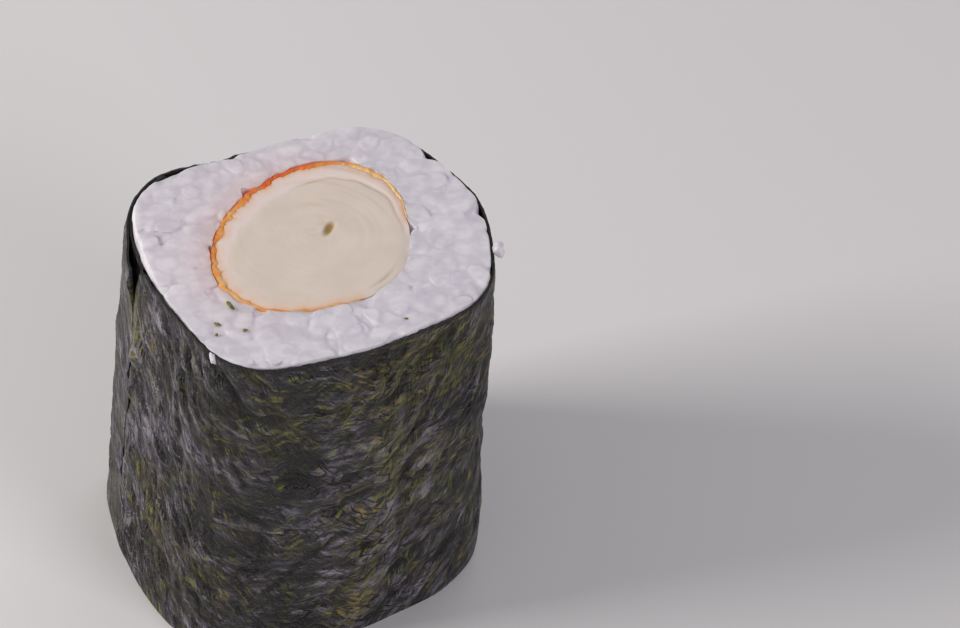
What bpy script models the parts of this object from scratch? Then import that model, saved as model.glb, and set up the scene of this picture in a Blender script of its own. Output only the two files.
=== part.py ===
"""Crab stick maki roll, one upright piece.

A sheet of nori is wrapped once round a ring of cooked rice, and a rolled crab stick
with its dyed skin runs through the middle. Metres, +Z up, origin at the base's centre.
"""

from math import cos, exp, pi, radians, sin, tau
from random import Random

import bmesh
import bpy
from mathutils import Euler, Matrix, Vector

MM = 0.001
MERGE = 0.01 * MM  # points closer than this are one
SHARP_ANGLE = radians(40)  # edges that turn more than this are shaded sharp

# The piece: a sixth of a 190 mm roll, made with half a sheet of nori.
ROLL_HEIGHT = 31.7 * MM
BELLY = 0.15 * MM  # how far the side swells between the two cuts
SPREAD = 0.35 * MM  # how far its own weight spreads it at the foot
LEAN = Vector((1.25 * MM, -0.5 * MM, 0.0))  # from the lower cut's middle to the upper one's
GAP = 0.2 * MM  # between touching pieces

# A section is a mean radius with waves on it: waves a turn, depth, and degrees of turn.
# Four waves a turn make the rounded square that the rolling mat leaves.
RICE_RADIUS = 13.75 * MM
RICE_WAVES = (
    (2, 0.71 * MM, 67),
    (3, 0.28 * MM, 104),
    (4, 0.86 * MM, -74),
    (5, 0.12 * MM, 98),
    (8, 0.20 * MM, -155),
)
STICK_RADIUS = 8.4 * MM
STICK_WAVES = ((2, 0.79 * MM, 133), (3, 0.22 * MM, -107), (4, 0.22 * MM, -105))
STICK_CENTRE = Vector((-0.2 * MM, 0.8 * MM, 0.0))

# Nori: the sheet starts at the left, runs once round, and its free end laps over its start.
NORI_THICKNESS = 0.35 * MM
NORI_START = radians(150)
NORI_LAP = radians(37)
NORI_RISE = radians(20)  # the stretch over which the free end climbs onto the first layer
WEDGE_END = radians(8)
NORI_RIM = 31.15 * MM
RIM_DIP = 0.7 * MM  # the rim lies lower round the lap
RIM_DIP_TURN = radians(165)
RIM_DIP_REACH = radians(32)
FLAP_LIFT = 0.3 * MM  # the free end stands off the layer below it, near the upper cut
FLAP_HEIGHT = 25.5 * MM
FLAP_REACH = 3.5 * MM
NORI_COLUMNS = 84
NORI_ROWS = 6

# Rice: a ring with grains fused into both cut faces, which the knife left flat.
RICE_CORE_DEPTH = 0.7 * MM  # how far the ring's own faces lie below the cuts
RICE_CORE_INSET = 0.1 * MM
RICE_SEGMENTS = 72
GRAIN_DEPTH = 0.9 * MM  # how far the grains' middles lie below the cuts
GRAIN_SCATTER = 0.25 * MM  # how far that strays
GRAIN_TILT = radians(28)
GRAIN_STRAY_ROUND = 0.25  # as a share of the way to the next grain of the row
GRAIN_STRAY_OUT = 0.06  # as a share of the way from the stick to the nori
GRAIN_LENGTH = 5.0 * MM
GRAIN_WIDTH = 2.4 * MM
GRAIN_FLATNESS = 0.9
GRAIN_SIZES = (0.85, 1.1)
UPPER_ROWS = ((0.12, 17), (0.38, 19), (0.64, 22), (0.90, 25))  # share of the way out, grains
LOWER_ROWS = ((0.14, 15), (0.50, 18), (0.86, 21))
GRAIN_SIDES = 6
GRAIN_RINGS = 4
SPILL = 0.25 * MM  # how far grains may bulge out above the nori's rim

# Crab stick: one surimi sheet rolled up, so its outer turn is a crescent round the core.
STICK_SEGMENTS = 64
STICK_ROWS = 3
CORE_SHARE = 0.83  # the core's radius as a share of the stick's
CORE_SHIFT = 0.13  # the same, added towards CORE_TURN
CORE_TURN = radians(300)
GROOVE_WIDTH = 0.25 * MM
GROOVE_DEPTH = 0.8 * MM
GROOVE_STEP = radians(7)  # the turn that one facet of a groove takes up
CRESCENT_GROOVE = (radians(-5), radians(255))
SHORT_GROOVE = (radians(310), radians(338))
SHORT_SHARE = 0.78  # the short groove's radius as a share of the stick's
PITH_SIZE = (0.7 * MM, 1.7 * MM, 2.4 * MM)  # the hole where the sheet's rolling began
PITH_ROUND = 0.25 * MM
PITH_PLACE = Vector((1.2 * MM, 1.0 * MM, 0.0))

# Dyed skin: a band over the crescent side of the stick.
SKIN_THICKNESS = 0.5 * MM
SKIN_ARC = (radians(22), radians(300))
SKIN_STEP = radians(9)  # the stretch past each end over which the stick regains its size
SKIN_FOOT = 0.3 * MM
SKIN_COLUMNS = 36


def material(name, colour, roughness):
    """A plain food material. The colour is linear."""
    made = bpy.data.materials.new(name)
    made.use_nodes = True
    shader = made.node_tree.nodes["Principled BSDF"]
    shader.inputs["Base Color"].default_value = (*colour, 1.0)
    shader.inputs["Roughness"].default_value = roughness
    shader.inputs["Metallic"].default_value = 0.0
    return made


def smooth(low, high, value):
    """0 below low, 1 above high, and an even S-curve between them."""
    share = min(max((value - low) / (high - low), 0.0), 1.0)
    return share * share * (3.0 - 2.0 * share)


def section_radius(angle, mean, waves):
    """The radius of a wavy section at an angle."""
    return mean + sum(
        depth * cos(count * angle - radians(turn)) for count, depth, turn in waves
    )


def swell(height):
    """How far the side stands out at a height: nothing at the upper cut."""
    level = height / ROLL_HEIGHT
    return BELLY * sin(pi * level) + SPREAD * (1.0 - level)


def axis_point(height):
    """The roll's middle line, which leans a little."""
    return LEAN * (height / ROLL_HEIGHT - 0.5) + Vector((0.0, 0.0, height))


def roll_point(angle, radius, height):
    """A point at a radius from the roll's middle line."""
    return axis_point(height) + Vector((cos(angle), sin(angle), 0.0)) * radius


def stick_radius(angle):
    """The outside of the crab stick, dyed skin included, from its own centre."""
    return section_radius(angle, STICK_RADIUS, STICK_WAVES)


def stick_point(angle, radius, height):
    """A point at a radius from the crab stick's middle line."""
    return roll_point(angle, radius, height) + STICK_CENTRE


def roll_wall(angle, height):
    """The radius that the rice is rolled to."""
    return section_radius(angle, RICE_RADIUS, RICE_WAVES) + swell(height)


def rice_wall(angle, height):
    """The rice's outer wall, which also fills the wedge before the sheet's first end."""
    before = angle % tau
    wedge = smooth(NORI_START - NORI_RISE, NORI_START, before)
    wedge *= 1.0 - smooth(NORI_START - WEDGE_END, NORI_START, before)
    return roll_wall(angle, height) + NORI_THICKNESS * wedge


def add_object(name, mesh, finish=None):
    """Puts a bmesh into the scene as one smooth object, with its faces pointing out."""
    bmesh.ops.recalc_face_normals(mesh, faces=mesh.faces)
    data = bpy.data.meshes.new(name)
    mesh.to_mesh(data)
    mesh.free()
    data.shade_smooth()
    data.set_sharp_from_angle(angle=SHARP_ANGLE)
    made = bpy.data.objects.new(name, data)
    bpy.context.scene.collection.objects.link(made)
    if finish:
        data.materials.append(finish)
    return made


def mapped_grid(columns, rows, place):
    """A grid bent into shape: place(along, up) gives a point, both running from 0 to 1."""
    mesh = bmesh.new()
    bmesh.ops.create_grid(mesh, x_segments=columns, y_segments=rows, size=0.5)
    for vertex in mesh.verts:
        vertex.co = place(vertex.co.x + 0.5, vertex.co.y + 0.5)
    return mesh


def thin_sheet(columns, rows, wall, thickness):
    """A curved sheet: wall(along, up) gives a point of its inner face and the way out there."""
    around_count = 2 * rows + 2

    def place(along, around):
        """Up the inner face, over the rim, down the outer face and back to the start."""
        turn = round(around * around_count) % around_count
        outer = turn > rows
        row = around_count - 1 - turn if outer else turn
        point, outward = wall(along, row / rows)
        return point + outward * (thickness if outer else 0.0)

    mesh = mapped_grid(columns, around_count, place)
    bmesh.ops.remove_doubles(mesh, verts=mesh.verts, dist=MERGE)
    bmesh.ops.holes_fill(mesh, edges=mesh.edges, sides=0)
    return mesh


def ring(segments, section):
    """A closed ring: section lists its corners in turn, each a function of the angle."""
    def place(along, around):
        corner = round(around * len(section)) % len(section)
        return section[corner](along * tau)

    mesh = mapped_grid(segments, len(section), place)
    bmesh.ops.remove_doubles(mesh, verts=mesh.verts, dist=MERGE)
    return mesh


def evaluated_mesh(obj):
    """The object's mesh with its modifiers applied."""
    graph = bpy.context.evaluated_depsgraph_get()
    return bpy.data.meshes.new_from_object(obj.evaluated_get(graph))


def combine(obj, operation, others, solver):
    """Applies one Boolean between obj and the other objects, which are then removed."""
    group = bpy.data.collections.new(obj.name + "_operands")
    bpy.context.scene.collection.children.link(group)
    for other in others:
        bpy.context.scene.collection.objects.unlink(other)
        group.objects.link(other)
    boolean = obj.modifiers.new("boolean", "BOOLEAN")
    boolean.operation = operation
    boolean.operand_type = "COLLECTION"
    boolean.collection = group
    boolean.solver = solver
    bpy.context.view_layer.update()
    obj.data = evaluated_mesh(obj)
    obj.modifiers.clear()
    for other in others:
        bpy.data.objects.remove(other)
    bpy.data.collections.remove(group)


def islands(mesh):
    """The separate shells of a bmesh, each a set of vertices."""
    left = set(mesh.verts)
    found = []
    while left:
        reached = [left.pop()]
        shell = set(reached)
        while reached:
            for edge in reached.pop().link_edges:
                for vertex in edge.verts:
                    if vertex in left:
                        left.discard(vertex)
                        shell.add(vertex)
                        reached.append(vertex)
        found.append(shell)
    return found


def keep_main_shell(obj):
    """Drops loose scraps, and the walls of hollows that fusing sealed."""
    mesh = bmesh.new()
    mesh.from_mesh(obj.data)
    shells = sorted(islands(mesh), key=len)
    for shell in shells[:-1]:
        bmesh.ops.delete(mesh, geom=list(shell), context="VERTS")
    mesh.to_mesh(obj.data)
    mesh.free()


def rim_height(angle):
    """How high the nori's rim is."""
    away = (angle - RIM_DIP_TURN + pi) % tau - pi
    return NORI_RIM - RIM_DIP * exp(-((away / RIM_DIP_REACH) ** 2))


def nori():
    """The wrapped sheet, whose free end laps over its first end at the left."""
    span = tau + NORI_LAP
    layer = NORI_THICKNESS + GAP

    def wall(along, up):
        turned = along * span
        angle = NORI_START + turned
        height = up * rim_height(angle)
        climb = layer * smooth(tau - NORI_RISE, tau, turned)
        free = smooth(span - 0.5 * NORI_LAP, span, turned)
        climb += FLAP_LIFT * free * exp(-(((height - FLAP_HEIGHT) / FLAP_REACH) ** 2))
        radius = roll_wall(angle, height) + GAP + climb
        outward = Vector((cos(angle), sin(angle), 0.0))
        return roll_point(angle, radius, height), outward

    mesh = thin_sheet(NORI_COLUMNS, NORI_ROWS, wall, NORI_THICKNESS)
    return add_object("nori", mesh, material("toasted_nori", (0.035, 0.037, 0.03), 0.5))


def rice_ring(name, heights, inset, spill):
    """A ring between the nori and the crab stick, with corners at the heights listed."""
    def outer(height):
        over = spill if height > NORI_RIM + MERGE else 0.0
        return lambda angle: roll_point(angle, rice_wall(angle, height) - inset + over, height)

    def inner(height):
        return lambda angle: stick_point(angle, stick_radius(angle) + GAP + inset, height)

    section = [outer(height) for height in heights] + [inner(height) for height in heights[::-1]]
    return add_object(name, ring(RICE_SEGMENTS, section))


def grain(place, turn, size):
    """One cooked grain, a blunt spindle with few sides."""
    mesh = bmesh.new()
    bmesh.ops.create_uvsphere(mesh, u_segments=GRAIN_SIDES, v_segments=GRAIN_RINGS, radius=0.5)
    scale = Vector((GRAIN_WIDTH, GRAIN_WIDTH * GRAIN_FLATNESS, GRAIN_LENGTH)) * size
    matrix = Matrix.LocRotScale(place, turn, scale)
    bmesh.ops.transform(mesh, matrix=matrix, verts=mesh.verts)
    return add_object("grain", mesh)


def grains_of_face(face, inward, rows, random):
    """Rows of grains that run round a cut face, lying every way in its plane."""
    made = []
    for share, count in rows:
        first = random.uniform(0.0, tau)
        for number in range(count):
            shift = GRAIN_STRAY_ROUND * random.uniform(-1.0, 1.0)
            angle = first + tau * (number + shift) / count
            depth = GRAIN_DEPTH + GRAIN_SCATTER * random.uniform(-1.0, 1.0)
            height = face + inward * depth
            inside = stick_point(angle, stick_radius(angle), height)
            outside = roll_point(angle, rice_wall(angle, height), height)
            place = inside.lerp(outside, share + GRAIN_STRAY_OUT * random.uniform(-1.0, 1.0))
            tilt = pi / 2 + GRAIN_TILT * random.uniform(-1.0, 1.0)
            turn = Euler((0.0, tilt, random.uniform(0.0, pi)))
            made.append(grain(place, turn, random.uniform(*GRAIN_SIZES)))
    return made


def rice():
    """The rice: a core with grains fused into both cut faces, trimmed to the roll's walls."""
    random = Random(7)
    between = (ROLL_HEIGHT / 3, ROLL_HEIGHT * 2 / 3)
    core_levels = (RICE_CORE_DEPTH, *between, ROLL_HEIGHT - RICE_CORE_DEPTH)
    core = rice_ring("rice", core_levels, RICE_CORE_INSET, 0.0)
    grains = grains_of_face(ROLL_HEIGHT, -1.0, UPPER_ROWS, random)
    grains += grains_of_face(0.0, 1.0, LOWER_ROWS, random)
    combine(core, "UNION", grains, "MANIFOLD")
    trim_levels = (0.0, *between, NORI_RIM, ROLL_HEIGHT)
    combine(core, "INTERSECT", [rice_ring("trim", trim_levels, 0.0, SPILL)], "MANIFOLD")
    keep_main_shell(core)
    core.data.materials.clear()
    core.data.materials.append(material("cooked_rice", (0.72, 0.70, 0.70), 0.45))
    core.data.shade_smooth()
    core.data.set_sharp_from_angle(angle=SHARP_ANGLE)
    return core


def core_share(angle):
    """The surimi core's radius as a share of the stick's: its outer turn is a crescent."""
    return CORE_SHARE + CORE_SHIFT * cos(angle - CORE_TURN)


def groove_cutter(arc, share, height):
    """A thin curved blade that leaves the line between two turns of the sheet."""
    start, end = arc

    def wall(along, up):
        angle = start + (end - start) * along
        level = height + (2.0 * up - 1.0) * GROOVE_DEPTH
        outward = Vector((cos(angle), sin(angle), 0.0))
        return stick_point(angle, stick_radius(angle) * share(angle), level), outward

    columns = round((end - start) / GROOVE_STEP)
    return add_object("groove", thin_sheet(columns, 1, wall, GROOVE_WIDTH))


def pith_cutter(height):
    """A block that leaves the small hole at the middle of the rolled sheet."""
    mesh = bmesh.new()
    bmesh.ops.create_cube(mesh, size=1.0, matrix=Matrix.Diagonal((*PITH_SIZE, 1.0)))
    upright = [edge for edge in mesh.edges if edge.verts[0].co.z * edge.verts[1].co.z < 0.0]
    bmesh.ops.bevel(
        mesh,
        geom=upright,
        offset=PITH_ROUND,
        segments=2,
        profile=0.5,
        affect="EDGES",
        material=-1,
    )
    place = axis_point(height) + STICK_CENTRE + PITH_PLACE
    bmesh.ops.translate(mesh, vec=place, verts=mesh.verts)
    return add_object("pith", mesh)


def skin_cover(angle):
    """1 where the dyed skin lies on the stick, and 0 past its ends."""
    start, end = SKIN_ARC
    past = (angle - start) % tau - (end - start)
    return 1.0 - smooth(0.0, SKIN_STEP, min(past, tau - (end - start) - past))


def crab_stick():
    """The rolled surimi, with the lines between its turns cut into both faces."""
    def place(along, up):
        angle = along * tau
        under_skin = (SKIN_THICKNESS + GAP) * skin_cover(angle)
        return stick_point(angle, stick_radius(angle) - under_skin, up * ROLL_HEIGHT)

    mesh = mapped_grid(STICK_SEGMENTS, STICK_ROWS, place)
    bmesh.ops.remove_doubles(mesh, verts=mesh.verts, dist=MERGE)
    bmesh.ops.holes_fill(mesh, edges=mesh.edges, sides=0)
    made = add_object("crab_stick", mesh, material("surimi", (0.66, 0.55, 0.45), 0.4))
    cutters = []
    for height in (0.0, ROLL_HEIGHT):
        cutters.append(groove_cutter(CRESCENT_GROOVE, core_share, height))
        cutters.append(groove_cutter(SHORT_GROOVE, lambda angle: SHORT_SHARE, height))
        cutters.append(pith_cutter(height))
    combine(made, "DIFFERENCE", cutters, "EXACT")
    return made


def crab_stick_skin():
    """The dyed outer layer, a band over most of the stick's way round."""
    start, end = SKIN_ARC

    def wall(along, up):
        angle = start + (end - start) * along
        height = SKIN_FOOT + (ROLL_HEIGHT - SKIN_FOOT) * up
        outward = Vector((cos(angle), sin(angle), 0.0))
        return stick_point(angle, stick_radius(angle) - SKIN_THICKNESS, height), outward

    mesh = thin_sheet(SKIN_COLUMNS, STICK_ROWS, wall, SKIN_THICKNESS)
    finish = material("dyed_surimi", (0.83, 0.22, 0.035), 0.35)
    return add_object("crab_stick_skin", mesh, finish)


def stand_on_origin(pieces):
    """Moves the pieces together so that the middle of their base is the origin."""
    corners = [vertex.co for piece in pieces for vertex in piece.data.vertices]
    low = [min(corner[axis] for corner in corners) for axis in range(3)]
    high = [max(corner[axis] for corner in corners) for axis in range(3)]
    middle = Vector(((low[0] + high[0]) / 2, (low[1] + high[1]) / 2, low[2]))
    for piece in pieces:
        piece.data.transform(Matrix.Translation(-middle))


for leftover in list(bpy.data.objects):
    bpy.data.objects.remove(leftover)
stand_on_origin([nori(), rice(), crab_stick(), crab_stick_skin()])
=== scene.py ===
from math import atan2, cos, exp, hypot, log, pi, radians, sin, tau
from random import Random

import bmesh
import bpy
from mathutils import Euler, Matrix, Vector, geometry, noise
from mathutils.kdtree import KDTree


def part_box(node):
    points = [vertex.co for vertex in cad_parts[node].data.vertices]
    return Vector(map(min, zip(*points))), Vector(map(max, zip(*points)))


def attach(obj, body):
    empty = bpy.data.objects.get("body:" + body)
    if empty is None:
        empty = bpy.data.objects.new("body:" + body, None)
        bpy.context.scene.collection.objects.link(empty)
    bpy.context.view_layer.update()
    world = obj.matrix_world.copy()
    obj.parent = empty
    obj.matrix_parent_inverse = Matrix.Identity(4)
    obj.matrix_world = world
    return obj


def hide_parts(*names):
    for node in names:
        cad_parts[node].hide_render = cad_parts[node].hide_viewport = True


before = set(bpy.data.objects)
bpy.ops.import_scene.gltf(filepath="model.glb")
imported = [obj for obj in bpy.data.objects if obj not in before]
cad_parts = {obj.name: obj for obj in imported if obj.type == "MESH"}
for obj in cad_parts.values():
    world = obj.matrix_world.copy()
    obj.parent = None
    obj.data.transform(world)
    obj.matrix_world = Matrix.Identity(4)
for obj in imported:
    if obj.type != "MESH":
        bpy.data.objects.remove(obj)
noise.seed_set(1)  # noise_vector's offsets come from the clock otherwise
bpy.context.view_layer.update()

# Rice. Short-grain rice, steamed, dressed with vinegar and pressed round the filling with a
# bamboo mat, which leaves a rounded square. The knife shows whole and halved grains in both
# cuts, pressed nearly flat, and those at the rim bulge a little over the nori.

MM = 0.001
ROLL_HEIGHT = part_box("rice")[1].z
ROLL_MIDDLE = Vector((0.707, -0.005, 0.0)) * MM  # the roll's middle line, half-way up
LEAN = Vector((1.25, -0.5, 0.0)) * MM  # from the lower cut's middle to the upper one's
BELLY = 0.15 * MM  # how far the side swells between the cuts
SPREAD = 0.35 * MM  # how far its own weight spreads it at the foot
RICE_RADIUS = 13.75 * MM
RICE_WAVES = (
    (2, 0.71 * MM, 67),
    (3, 0.28 * MM, 104),
    (4, 0.86 * MM, -74),
    (5, 0.12 * MM, 98),
    (8, 0.20 * MM, -155),
)  # waves a turn, depth, degrees of turn
STICK_RADIUS = 8.4 * MM
STICK_WAVES = ((2, 0.79 * MM, 133), (3, 0.22 * MM, -107), (4, 0.22 * MM, -105))
# How far the stick stands out past those waves, where, and over what reach.
STICK_BULGES = ((0.4 * MM, radians(222), radians(26)), (-0.33 * MM, radians(152), radians(26)))
STICK_CENTRE = Vector((-0.2, 0.8, 0.0)) * MM
SKIN_ARC = (radians(22), radians(300))
NORI_RIM = 31.4 * MM
RIM_WAVES = (
    (-1.0 * MM, radians(177), radians(20)),
    (0.35 * MM, radians(150), radians(12)),
    (-0.5 * MM, radians(78), radians(36)),
    (0.15 * MM, radians(222), radians(24)),
)  # how much higher the rim lies, where, and over what reach

CORE_DEPTH = 1.0 * MM  # the plain rice inside starts this far below the cuts
GRAIN_LENGTH = 4.4 * MM
GRAIN_WIDTH = 2.1 * MM
GRAIN_LAYERS = ((0.72 * MM, 190), (1.35 * MM, 90))  # depth of the grains' middles, how many
GRAIN_TILT = radians(50)
RICE_VOXEL = 0.2 * MM
PRESSED = 0.16  # how much of the relief the knife leaves
PRESS_SOFTNESS = 0.14 * MM
SIDE_SOFTNESS = 0.1 * MM
RIM_BULGE = 0.1 * MM  # how far the rice stands out over the nori's rim
WALL_INSET = 0.4 * MM  # keeps the rice behind the nori's wrinkles
CREASE_DEPTH = 0.08 * MM
CREASE_WIDTH = 0.42 * MM
TINT_DEPTH = 0.03 * MM
PLAIN_DEPTH = 3.0 * MM  # the wall deeper than this carries no grains, and gets few faces
GAP_TURNS = (radians(13), radians(76), radians(139))  # where the rice misses the crab stick
GAP_DEPTH = 0.6 * MM
GAP_REACH = radians(3.5)
NOTCHES = ((radians(21), 0.65 * MM), (radians(53), 0.75 * MM), (radians(127), 0.3 * MM))
# where grains are missing at the outer edge, and how deep
NOTCH_REACH = radians(2.8)
EDGE_ROUNDING = 0.16 * MM


def smooth(low, high, value):
    """0 below low, 1 above high, and an even S-curve between them."""
    share = min(max((value - low) / (high - low), 0.0), 1.0)
    return share * share * (3.0 - 2.0 * share)


def ridge(distance, width):
    """1 on a line, and fading to 0 a width or two away from it."""
    return exp(-((distance / width) ** 2))


def turned_away(angle, middle):
    """How far an angle is from another one, the short way round."""
    return (angle - middle + pi) % tau - pi


def section_radius(angle, mean, waves):
    return mean + sum(
        depth * cos(count * angle - radians(turn)) for count, depth, turn in waves
    )


def roll_axis(height):
    return ROLL_MIDDLE + LEAN * (height / ROLL_HEIGHT - 0.5) + Vector((0.0, 0.0, height))


def roll_radius(angle, height):
    level = min(max(height / ROLL_HEIGHT, 0.0), 1.0)
    swell = BELLY * sin(pi * level) + SPREAD * (1.0 - level)
    return section_radius(angle, RICE_RADIUS, RICE_WAVES) + swell


def bulged(angle, bulges):
    """The sum of some bulges at an angle: how large each is, where, and over what reach."""
    return sum(size * ridge(turned_away(angle, turn), reach) for size, turn, reach in bulges)


def stick_radius(angle):
    return section_radius(angle, STICK_RADIUS, STICK_WAVES) + bulged(angle, STICK_BULGES)


def rim_height(angle):
    """How high the nori's rim is."""
    return NORI_RIM + bulged(angle, RIM_WAVES)


def polar(place, centre):
    """The angle and the distance of a place from a middle line."""
    across = place.x - centre.x
    back = place.y - centre.y
    return atan2(back, across) % tau, hypot(across, back)


def on_circle(centre, angle, radius):
    return centre + Vector((cos(angle), sin(angle), 0.0)) * radius


def skin_cover(angle, fade):
    """1 where the dyed skin lies, and 0 past its ends, with a fade past each of them."""
    start, end = SKIN_ARC
    past = (angle - start) % tau - (end - start)
    return 1.0 - smooth(0.0, fade, min(past, tau - (end - start) - past))


def mapped_grid(columns, rows, place):
    """A grid bent into shape: place(along, up) gives a point, both running from 0 to 1."""
    mesh = bmesh.new()
    bmesh.ops.create_grid(mesh, x_segments=columns, y_segments=rows, size=0.5)
    for vertex in mesh.verts:
        vertex.co = place(vertex.co.x + 0.5, vertex.co.y + 0.5)
    return mesh


def closed(mesh):
    """Welds the seams, closes the ends and turns every face outwards."""
    bmesh.ops.remove_doubles(mesh, verts=mesh.verts, dist=0.004 * MM)
    bmesh.ops.holes_fill(mesh, edges=mesh.edges, sides=0)
    bmesh.ops.recalc_face_normals(mesh, faces=mesh.faces)
    return mesh


def shown(name, mesh):
    data = bpy.data.meshes.new(name)
    mesh.to_mesh(data)
    mesh.free()
    made = bpy.data.objects.new(name, data)
    bpy.context.scene.collection.objects.link(made)
    return made


def applied(piece):
    """A bmesh of the piece with its modifiers. The piece itself goes."""
    mesh = bmesh.new()
    mesh.from_object(piece, bpy.context.evaluated_depsgraph_get())
    bpy.data.objects.remove(piece)
    return mesh


def finished(name, mesh, finish, slot, *nodes):
    """The piece in its place, with its material and the CAD nodes that it stands for."""
    made = shown(name, mesh)
    made.data.shade_smooth()
    made.data.set_sharp_from_angle(angle=radians(65))
    made.data.materials.append(finish)
    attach(made, "root")
    if nodes:
        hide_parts(*nodes)
    return made


def colour(code, alpha=1.0):
    """A linear colour from an sRGB hex value."""
    parts = [int(code[place:place + 2], 16) / 255 for place in (1, 3, 5)]
    linear = [c / 12.92 if c <= 0.04045 else ((c + 0.055) / 1.055) ** 2.4 for c in parts]
    return (*linear, alpha)


def add_node(tree, kind, inputs=None, stops=None, **settings):
    """Adds a node with its settings, its sockets' values or links, and a ramp's stops. A node
    among the inputs gives the first of its outputs that is in use."""
    made = tree.nodes.new("ShaderNode" + kind)
    for name, value in settings.items():
        setattr(made, name, value)
    for key, value in (inputs or {}).items():
        if isinstance(value, bpy.types.Node):
            value = next(output for output in value.outputs if output.enabled)
        if isinstance(value, bpy.types.NodeSocket):
            tree.links.new(value, made.inputs[key])
        else:
            made.inputs[key].default_value = value
    for number, (position, shade) in enumerate(stops or ()):
        ramp = made.color_ramp.elements
        stop = ramp[number] if number < 2 else ramp.new(position)
        stop.position = position
        stop.color = shade
    return made


def stained(tree, shade, stains):
    """Lays a colour over the shade as strongly as the mesh's attribute of each name says."""
    for name, over in stains:
        amount = add_node(tree, "Attribute", attribute_name=name).outputs["Fac"]
        # A Mix node's sockets share their names, so its two colours go by number.
        inputs = {"Factor": amount, 6: shade, 7: colour(over)}
        shade = add_node(tree, "Mix", inputs, data_type="RGBA")
    return shade


def new_finish(name):
    finish = bpy.data.materials.new(name)
    finish.use_nodes = True
    return finish, finish.node_tree, finish.node_tree.nodes["Principled BSDF"]


def steamed_rice(name="steamed_rice"):
    """Steamed rice: translucent white starch that lets light in deep, moist on top, with
    some grains milkier than others. Pink from the crab stick's dye has bled into it."""
    finish, tree, shader = new_finish(name)
    place = add_node(tree, "TexCoord").outputs["Object"]
    tint = add_node(tree, "Attribute", attribute_name="tint").outputs["Fac"]
    shade = add_node(
        tree, "ValToRGB", {"Fac": tint},
        stops=((0.0, colour("#dcd6dd")), (1.0, colour("#ece9ed"))),
    )
    lumps = add_node(tree, "TexNoise", {"Vector": place, "Scale": 1.0 / MM, "Detail": 4.0})
    milky = add_node(
        tree, "ValToRGB", {"Fac": lumps},
        stops=((0.38, colour("#d6d0d9")), (0.62, colour("#f2eff2"))),
    )
    shade = add_node(tree, "Mix", {"Factor": 0.5, 6: shade, 7: milky}, data_type="RGBA")
    # The greyer white between the grains is painted shade in the creases; the pink is dye bled
    # from the crab stick.
    shade = stained(tree, shade, (("grain_gap_shade", "#d9d4dc"), ("dyed", "#f4c0ac")))
    grain = add_node(
        tree, "TexNoise", {"Vector": place, "Scale": 1.0 / (0.5 * MM), "Detail": 2.0}
    )
    bump = add_node(
        tree, "Bump", {"Height": grain, "Distance": 0.03 * MM, "Strength": 0.5}
    )
    tree.links.new(shade.outputs[2], shader.inputs["Base Color"])
    tree.links.new(bump.outputs[0], shader.inputs["Normal"])
    shader.inputs["Roughness"].default_value = 0.42
    shader.inputs["IOR"].default_value = 1.38
    shader.inputs["Subsurface Weight"].default_value = 0.6
    shader.inputs["Subsurface Radius"].default_value = (1.0, 0.9, 0.9)
    shader.inputs["Subsurface Scale"].default_value = 1.2 * MM
    return finish


def rice_core():
    """The plain rice that the grains sink into."""
    levels = (CORE_DEPTH, ROLL_HEIGHT - CORE_DEPTH)

    def place(along, around):
        angle = along * tau
        corner = round(around * 4) % 4
        height = levels[corner in (1, 2)]
        if corner < 2:
            return on_circle(roll_axis(height), angle, roll_radius(angle, height))
        return on_circle(roll_axis(height) + STICK_CENTRE, angle, stick_radius(angle))

    return closed(mapped_grid(120, 4, place))


def grain_shape():
    ball = bmesh.new()
    bmesh.ops.create_uvsphere(ball, u_segments=10, v_segments=8, radius=0.5)
    shape = bpy.data.meshes.new("grain")
    ball.to_mesh(shape)
    ball.free()
    return shape


def lay_grains(mesh, face, inward, random):
    """Fills a cut face with grains that lie every way, and returns a line of points in each."""
    shape = grain_shape()
    lines = []
    for layer, count in GRAIN_LAYERS:
        for number in range(count):
            # Even steps outwards by area, and the golden angle round, spread them evenly.
            share = (number + random.random()) / count
            angle = (number * radians(137.5) + random.uniform(-0.2, 0.2)) % tau
            height = face + inward * layer * random.uniform(0.65, 1.35)
            inner = on_circle(roll_axis(height) + STICK_CENTRE, angle, stick_radius(angle))
            outer = on_circle(roll_axis(height), angle, roll_radius(angle, height))
            near = (inner - roll_axis(height)).length
            far = (outer - roll_axis(height)).length
            reach = (near * near + share * (far * far - near * near)) ** 0.5
            middle = inner.lerp(outer, (reach - near) / (far - near))
            tilt = pi / 2 + GRAIN_TILT * random.uniform(-1.0, 1.0)
            turn = Euler((0.0, tilt, random.uniform(0.0, tau)))
            size = random.uniform(0.8, 1.1)
            scale = Vector((GRAIN_WIDTH, GRAIN_WIDTH * 0.88, GRAIN_LENGTH)) * size
            placed = Matrix.LocRotScale(middle, turn, scale)
            shape.transform(placed)
            mesh.from_mesh(shape)
            shape.transform(placed.inverted())
            along = turn.to_matrix() @ Vector((0.0, 0.0, scale.z))
            lines.append([middle + along * step for step in (-0.32, -0.16, 0.0, 0.16, 0.32)])
    bpy.data.meshes.remove(shape)
    return lines


def squeezed(room, softness):
    """Ample room stays as it is, and what would be less than none closes up evenly."""
    return max(room, softness * log(1.0 + exp(min(room / softness, 30.0))))


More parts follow.
